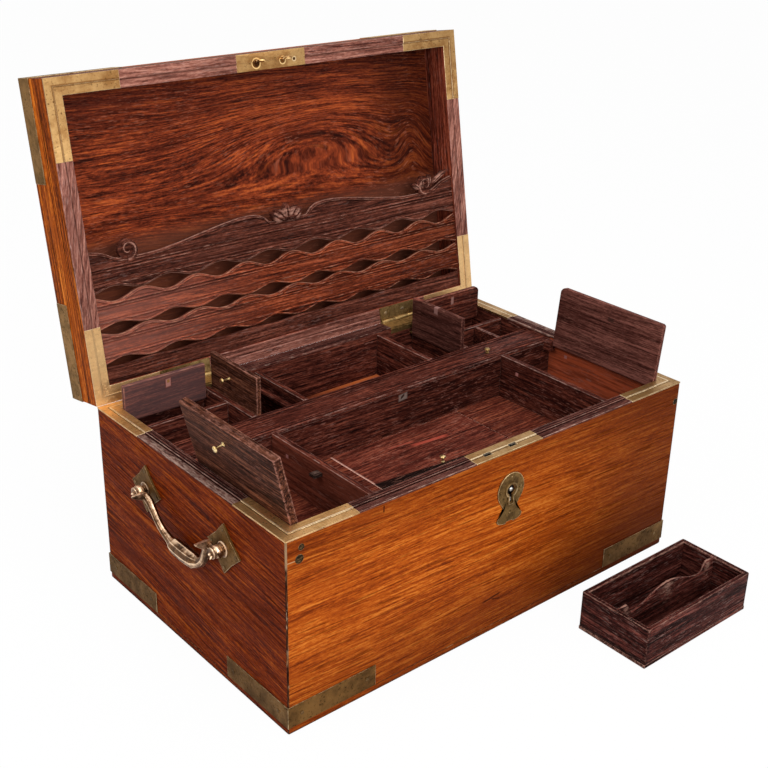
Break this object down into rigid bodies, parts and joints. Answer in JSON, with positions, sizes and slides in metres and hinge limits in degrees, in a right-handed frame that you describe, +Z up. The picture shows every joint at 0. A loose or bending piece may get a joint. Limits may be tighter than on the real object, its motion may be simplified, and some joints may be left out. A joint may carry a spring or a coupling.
{
  "type": "campaign writing box",
  "caption": "Brass-bound hardwood campaign writing box, lid open on a fretted letter rack, with lidded compartments inside, bail handles and a loose divided tray.",
  "frame": {"origin": "centre of the underside of the case", "axes": "+Z up, +X to the right along the front, +Y from the front to the hinges"},
  "size_m": [0.547, 0.5456, 0.5007],
  "materials": {
    "timber": "old polished hardwood",
    "rosewood": "worn waxed rosewood",
    "facing": "scratched rosewood",
    "flamed_wood": "polished figured wood",
    "brass": "worn brass",
    "dark_brass": "tarnished brass",
    "bronze": "handled cast brass"
  },
  "bodies": {
    "case": {"bottom_board": "timber", "front_board": "timber", "back_board": "timber", "left_board": "timber", "right_board": "timber", "rim_facing": "facing", "rim_corner_plates": "brass", "base_straps": "dark_brass", "lining_boards": "rosewood", "bearer_strips": "rosewood", "till_floor": "rosewood", "centre_divider": "rosewood", "divider_capping": "rosewood", "rear_partitions": "rosewood", "well_partitions": "rosewood", "cross_rails": "rosewood", "front_partitions": "rosewood", "lid_pivot_pins": "brass", "lock_plate": "brass", "lock_case": "brass", "escutcheon": "brass", "body_hinge_leaves": "brass", "hinge_pins": "brass", "handle_plates": "dark_brass", "handle_posts": "bronze", "board_plugs": "rosewood", "brass_screws": "dark_brass", "divider_pull": "brass"},
    "lid": {"lid_front_board": "timber", "lid_back_board": "timber", "lid_end_boards": "timber", "lid_top_board": "flamed_wood", "lid_inner_panel": "flamed_wood", "lid_rim_facing": "facing", "lid_corner_plates": "brass", "lid_edge_straps": "dark_brass", "rack_crest": "rosewood", "rack_slats": "flamed_wood", "rack_rail": "rosewood", "link_plate": "brass", "lid_hinge_leaves": "brass"},
    "bolt": {"lock_bolt": "brass"},
    "left_corner_flap": {"left_corner_lid": "rosewood"},
    "left_narrow_flap": {"left_narrow_lid": "rosewood", "left_narrow_knob": "brass"},
    "front_left_flap": {"front_left_lid": "rosewood", "front_left_knob": "brass"},
    "front_right_flap": {"front_right_lid": "rosewood", "front_right_knob": "brass"},
    "right_narrow_flap": {"right_narrow_lid": "rosewood", "right_narrow_knob": "brass"},
    "right_corner_flap": {"right_corner_lid": "rosewood", "right_corner_knob": "brass"},
    "left_handle": {"left_bail": "bronze"},
    "right_handle": {"right_bail": "bronze"},
    "hatch": {"floor_hatch": "flamed_wood", "hatch_knob": "brass"},
    "tray": {"tray_sides": "rosewood", "tray_floor": "rosewood", "tray_handle": "rosewood"}
  },
  "joints": [
    {"name": "lid_hinge", "type": "hinge", "parent": "case", "child": "lid", "pos_m": [0, 0.155, 0.19515], "axis": [1, 0, 0], "range_deg": [0, 99.7]},
    {"name": "left_corner_lid_pivot", "type": "hinge", "parent": "case", "child": "left_corner_flap", "pos_m": [-0.187, 0.1342, 0.1835], "axis": [1, 0, 0], "range_deg": [0, 90]},
    {"name": "left_narrow_lid_pivot", "type": "hinge", "parent": "case", "child": "left_narrow_flap", "pos_m": [-0.1322, 0.092, 0.1835], "axis": [0, 1, 0], "range_deg": [0, 90]},
    {"name": "front_left_lid_pivot", "type": "hinge", "parent": "case", "child": "front_left_flap", "pos_m": [-0.22663, -0.067, 0.188], "axis": [0, 1, 0], "range_deg": [0, 104]},
    {"name": "front_right_lid_pivot", "type": "hinge", "parent": "case", "child": "front_right_flap", "pos_m": [0.22952, -0.067, 0.1895], "axis": [0, -1, 0], "range_deg": [0, 96]},
    {"name": "right_narrow_lid_pivot", "type": "hinge", "parent": "case", "child": "right_narrow_flap", "pos_m": [0.1357, 0.092, 0.1835], "axis": [0, -1, 0], "range_deg": [0, 90]},
    {"name": "right_corner_lid_pivot", "type": "hinge", "parent": "case", "child": "right_corner_flap", "pos_m": [0.188, 0.1305, 0.1835], "axis": [1, 0, 0], "range_deg": [0, 90]},
    {"name": "left_bail_pivot", "type": "hinge", "parent": "case", "child": "left_handle", "pos_m": [-0.2585, 0, 0.145], "axis": [0, 1, 0], "range_deg": [0, 90]},
    {"name": "right_bail_pivot", "type": "hinge", "parent": "case", "child": "right_handle", "pos_m": [0.2585, 0, 0.145], "axis": [0, -1, 0], "range_deg": [0, 90]},
    {"name": "bolt_slide", "type": "slide", "parent": "case", "child": "bolt", "axis": [1, 0, 0], "range_m": [0, 0.0035]},
    {"name": "hatch_lift", "type": "slide", "parent": "case", "child": "hatch", "axis": [0, 0, 1], "range_m": [0, 0.05]},
    {"name": "tray_lift", "type": "slide", "parent": "case", "child": "tray", "axis": [0, 0, 1], "range_m": [0, 0.2]}
  ],
  "couplings": [
    {"joint": "left_corner_lid_pivot", "follows": "lid_hinge", "ratio": 0.90271},
    {"joint": "left_narrow_lid_pivot", "follows": "lid_hinge", "ratio": 0.90271},
    {"joint": "front_left_lid_pivot", "follows": "lid_hinge", "ratio": 1.0431},
    {"joint": "front_right_lid_pivot", "follows": "lid_hinge", "ratio": 0.96289},
    {"joint": "right_narrow_lid_pivot", "follows": "lid_hinge", "ratio": 0.90271},
    {"joint": "right_corner_lid_pivot", "follows": "lid_hinge", "ratio": 0.90271}
  ]
}
